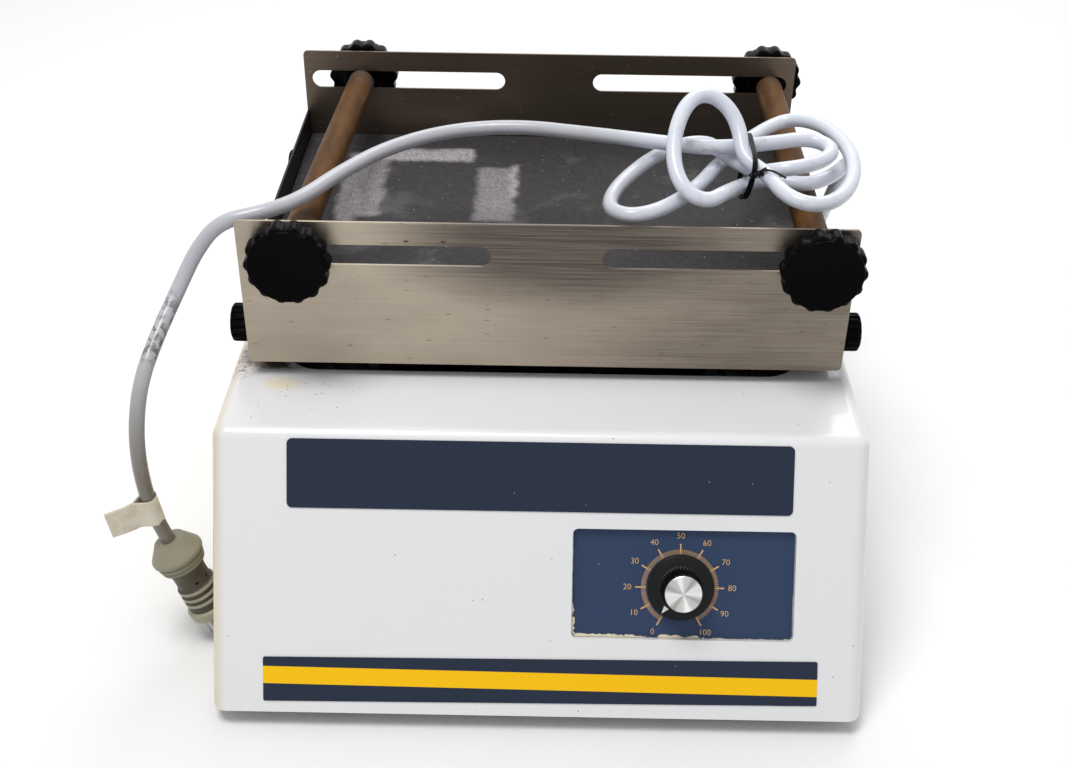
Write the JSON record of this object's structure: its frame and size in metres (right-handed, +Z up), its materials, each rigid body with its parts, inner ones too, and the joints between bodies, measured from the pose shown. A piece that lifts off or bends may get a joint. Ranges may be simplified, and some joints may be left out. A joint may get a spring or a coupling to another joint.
{
  "type": "platform shaker",
  "caption": "Bench platform shaker: sloped-front housing, orbiting carrier with slotted end plates, sliding clamp bars, speed dial and coiled mains cord.",
  "frame": {"origin": "middle of the housing's and carrier's footprint, on the surface it stands on", "axes": "+Z up, +Y from the control panel to the back, +X to the right seen from the front"},
  "size_m": [0.4401, 0.4748, 0.2914],
  "materials": {
    "housing_white": "gloss white enamel, slightly worn",
    "zinc_sheet": "zinc-plated sheet steel",
    "foot_rubber": "matt black rubber",
    "bright_steel": "turned or ground steel",
    "cast_aluminium": "cast and machined",
    "cast_weight": "dark cast iron",
    "motor_shell": "dark motor enamel",
    "belt_rubber": "matt black belt",
    "board_green": "green circuit board",
    "component_black": "moulded component cases",
    "label_navy": "printed navy film",
    "label_striped": "printed navy film with a yellow stripe",
    "dial_navy": "navy dial plate with a gold scale",
    "knob_black": "glossy black moulding",
    "cap_aluminium": "spun aluminium disc",
    "carrier_black": "satin black enamel",
    "mat_rubber": "dusty dark grey ribbed mat",
    "plate_steel": "brushed stainless, brushed lengthwise",
    "rod_steel": "plated rod",
    "sleeve_rubber": "aged amber-brown rubber tube",
    "cord_grey": "light grey glossy sheath",
    "plug_olive": "olive grey moulded plug",
    "tie_black": "black twist tie",
    "tag_white": "blank off-white tag"
  },
  "bodies": {
    "base": {"housing_shell": "housing_white", "base_plate": "zinc_sheet", "deck_plate": "zinc_sheet", "feet": "foot_rubber", "housing_screws": "bright_steel", "deck_posts": "bright_steel", "deck_bearings": "bright_steel", "plug_blades": "bright_steel", "main_bearing_housing": "cast_aluminium", "idler_posts": "cast_aluminium", "motor": "motor_shell", "drive_belt": "belt_rubber", "control_board": "board_green", "board_components": "component_black", "potentiometer": "component_black", "upper_label": "label_navy", "lower_label": "label_striped", "dial_plate": "dial_navy", "switch_bezel": "knob_black", "fuse_holder": "knob_black", "cord_front_run": "cord_grey", "cord_hank": "cord_grey", "cord_rear_lead": "cord_grey", "cord_gland": "cord_grey", "plug_body": "plug_olive", "cord_tie": "tie_black", "cord_tag": "tag_white"},
    "drive_crank": {"main_shaft": "bright_steel", "driven_pulley": "cast_aluminium", "counterweight": "cast_weight", "crank_web": "cast_weight"},
    "motor_spindle": {"motor_pulley": "cast_aluminium"},
    "idler_1": {"idler_crank_1": "bright_steel"},
    "idler_2": {"idler_crank_2": "bright_steel"},
    "idler_3": {"idler_crank_3": "bright_steel"},
    "platform": {"carriage": "carrier_black", "carriage_hubs": "cast_aluminium", "carriage_bearings": "bright_steel", "carrier_tray": "carrier_black", "mat": "mat_rubber", "tray_nuts": "bright_steel", "front_plate": "plate_steel", "rear_plate": "plate_steel"},
    "left_bar": {"left_bar_rod": "rod_steel", "left_bar_sleeve": "sleeve_rubber"},
    "right_bar": {"right_bar_rod": "rod_steel", "right_bar_sleeve": "sleeve_rubber"},
    "speed_dial": {"speed_spindle": "bright_steel", "speed_knob": "knob_black", "speed_knob_cap": "cap_aluminium"},
    "rocker": {"power_rocker": "knob_black"},
    "front_left_grip": {"front_left_knob": "knob_black"},
    "front_left_screw": {"front_left_thumb_screw": "knob_black"},
    "front_right_grip": {"front_right_knob": "knob_black"},
    "front_right_screw": {"front_right_thumb_screw": "knob_black"},
    "rear_left_grip": {"rear_left_knob": "knob_black"},
    "rear_left_screw": {"rear_left_thumb_screw": "knob_black"},
    "rear_right_grip": {"rear_right_knob": "knob_black"},
    "rear_right_screw": {"rear_right_thumb_screw": "knob_black"}
  },
  "joints": [
    {"name": "drive_spin", "type": "hinge", "parent": "base", "child": "drive_crank", "pos_m": [-0.00165, 0.04514, 0.09], "axis": [0, 0, 1], "continuous": true},
    {"name": "platform_turn", "type": "hinge", "parent": "drive_crank", "child": "platform", "pos_m": [0, 0.0545, 0.16], "axis": [0, 0, 1], "continuous": true},
    {"name": "motor_spin", "type": "hinge", "parent": "base", "child": "motor_spindle", "pos_m": [-0.08, -0.1, 0.09], "axis": [0, 0, 1], "continuous": true},
    {"name": "idler_1_turn", "type": "hinge", "parent": "base", "child": "idler_1", "pos_m": [-0.11665, -0.02986, 0.11], "axis": [0, 0, 1], "continuous": true},
    {"name": "idler_2_turn", "type": "hinge", "parent": "base", "child": "idler_2", "pos_m": [0.11335, -0.02986, 0.11], "axis": [0, 0, 1], "continuous": true},
    {"name": "idler_3_turn", "type": "hinge", "parent": "base", "child": "idler_3", "pos_m": [-0.00165, 0.13314, 0.11], "axis": [0, 0, 1], "continuous": true},
    {"name": "left_bar_slide", "type": "slide", "parent": "platform", "child": "left_bar", "axis": [1, 0, 0], "range_m": [-0.0193, 0.0921]},
    {"name": "right_bar_slide", "type": "slide", "parent": "platform", "child": "right_bar", "axis": [1, 0, 0], "range_m": [-0.1116, 0.0081]},
    {"name": "front_left_knob_turn", "type": "hinge", "parent": "left_bar", "child": "front_left_grip", "pos_m": [-0.1365, -0.0755, 0.2236], "axis": [0, 1, 0], "continuous": true},
    {"name": "rear_left_knob_turn", "type": "hinge", "parent": "left_bar", "child": "rear_left_grip", "pos_m": [-0.126, 0.1845, 0.2236], "axis": [0, 1, 0], "continuous": true},
    {"name": "front_right_knob_turn", "type": "hinge", "parent": "right_bar", "child": "front_right_grip", "pos_m": [0.1455, -0.0755, 0.2236], "axis": [0, 1, 0], "continuous": true},
    {"name": "rear_right_knob_turn", "type": "hinge", "parent": "right_bar", "child": "rear_right_grip", "pos_m": [0.1477, 0.1845, 0.2236], "axis": [0, 1, 0], "continuous": true},
    {"name": "front_left_screw_turn", "type": "hinge", "parent": "platform", "child": "front_left_screw", "pos_m": [-0.1668, -0.0485, 0.168], "axis": [1, 0, 0], "continuous": true},
    {"name": "rear_left_screw_turn", "type": "hinge", "parent": "platform", "child": "rear_left_screw", "pos_m": [-0.1668, 0.1575, 0.168], "axis": [1, 0, 0], "continuous": true},
    {"name": "front_right_screw_turn", "type": "hinge", "parent": "platform", "child": "front_right_screw", "pos_m": [0.1668, -0.0485, 0.168], "axis": [1, 0, 0], "continuous": true},
    {"name": "rear_right_screw_turn", "type": "hinge", "parent": "platform", "child": "rear_right_screw", "pos_m": [0.1668, 0.1575, 0.168], "axis": [1, 0, 0], "continuous": true},
    {"name": "speed_dial_turn", "type": "hinge", "parent": "base", "child": "speed_dial", "pos_m": [0.075, -0.16034, 0.07373], "axis": [0, -0.8814, 0.4724], "range_deg": [-294, 6]},
    {"name": "power_rocker_tilt", "type": "hinge", "parent": "base", "child": "rocker", "pos_m": [-0.125, 0.186, 0.062], "axis": [1, 0, 0], "range_deg": [-8, 8]}
  ],
  "couplings": [
    {"joint": "platform_turn", "follows": "drive_spin", "ratio": -1},
    {"joint": "motor_spin", "follows": "drive_spin", "ratio": 3.3333},
    {"joint": "idler_1_turn", "follows": "drive_spin", "ratio": 1},
    {"joint": "idler_2_turn", "follows": "drive_spin", "ratio": 1},
    {"joint": "idler_3_turn", "follows": "drive_spin", "ratio": 1}
  ]
}
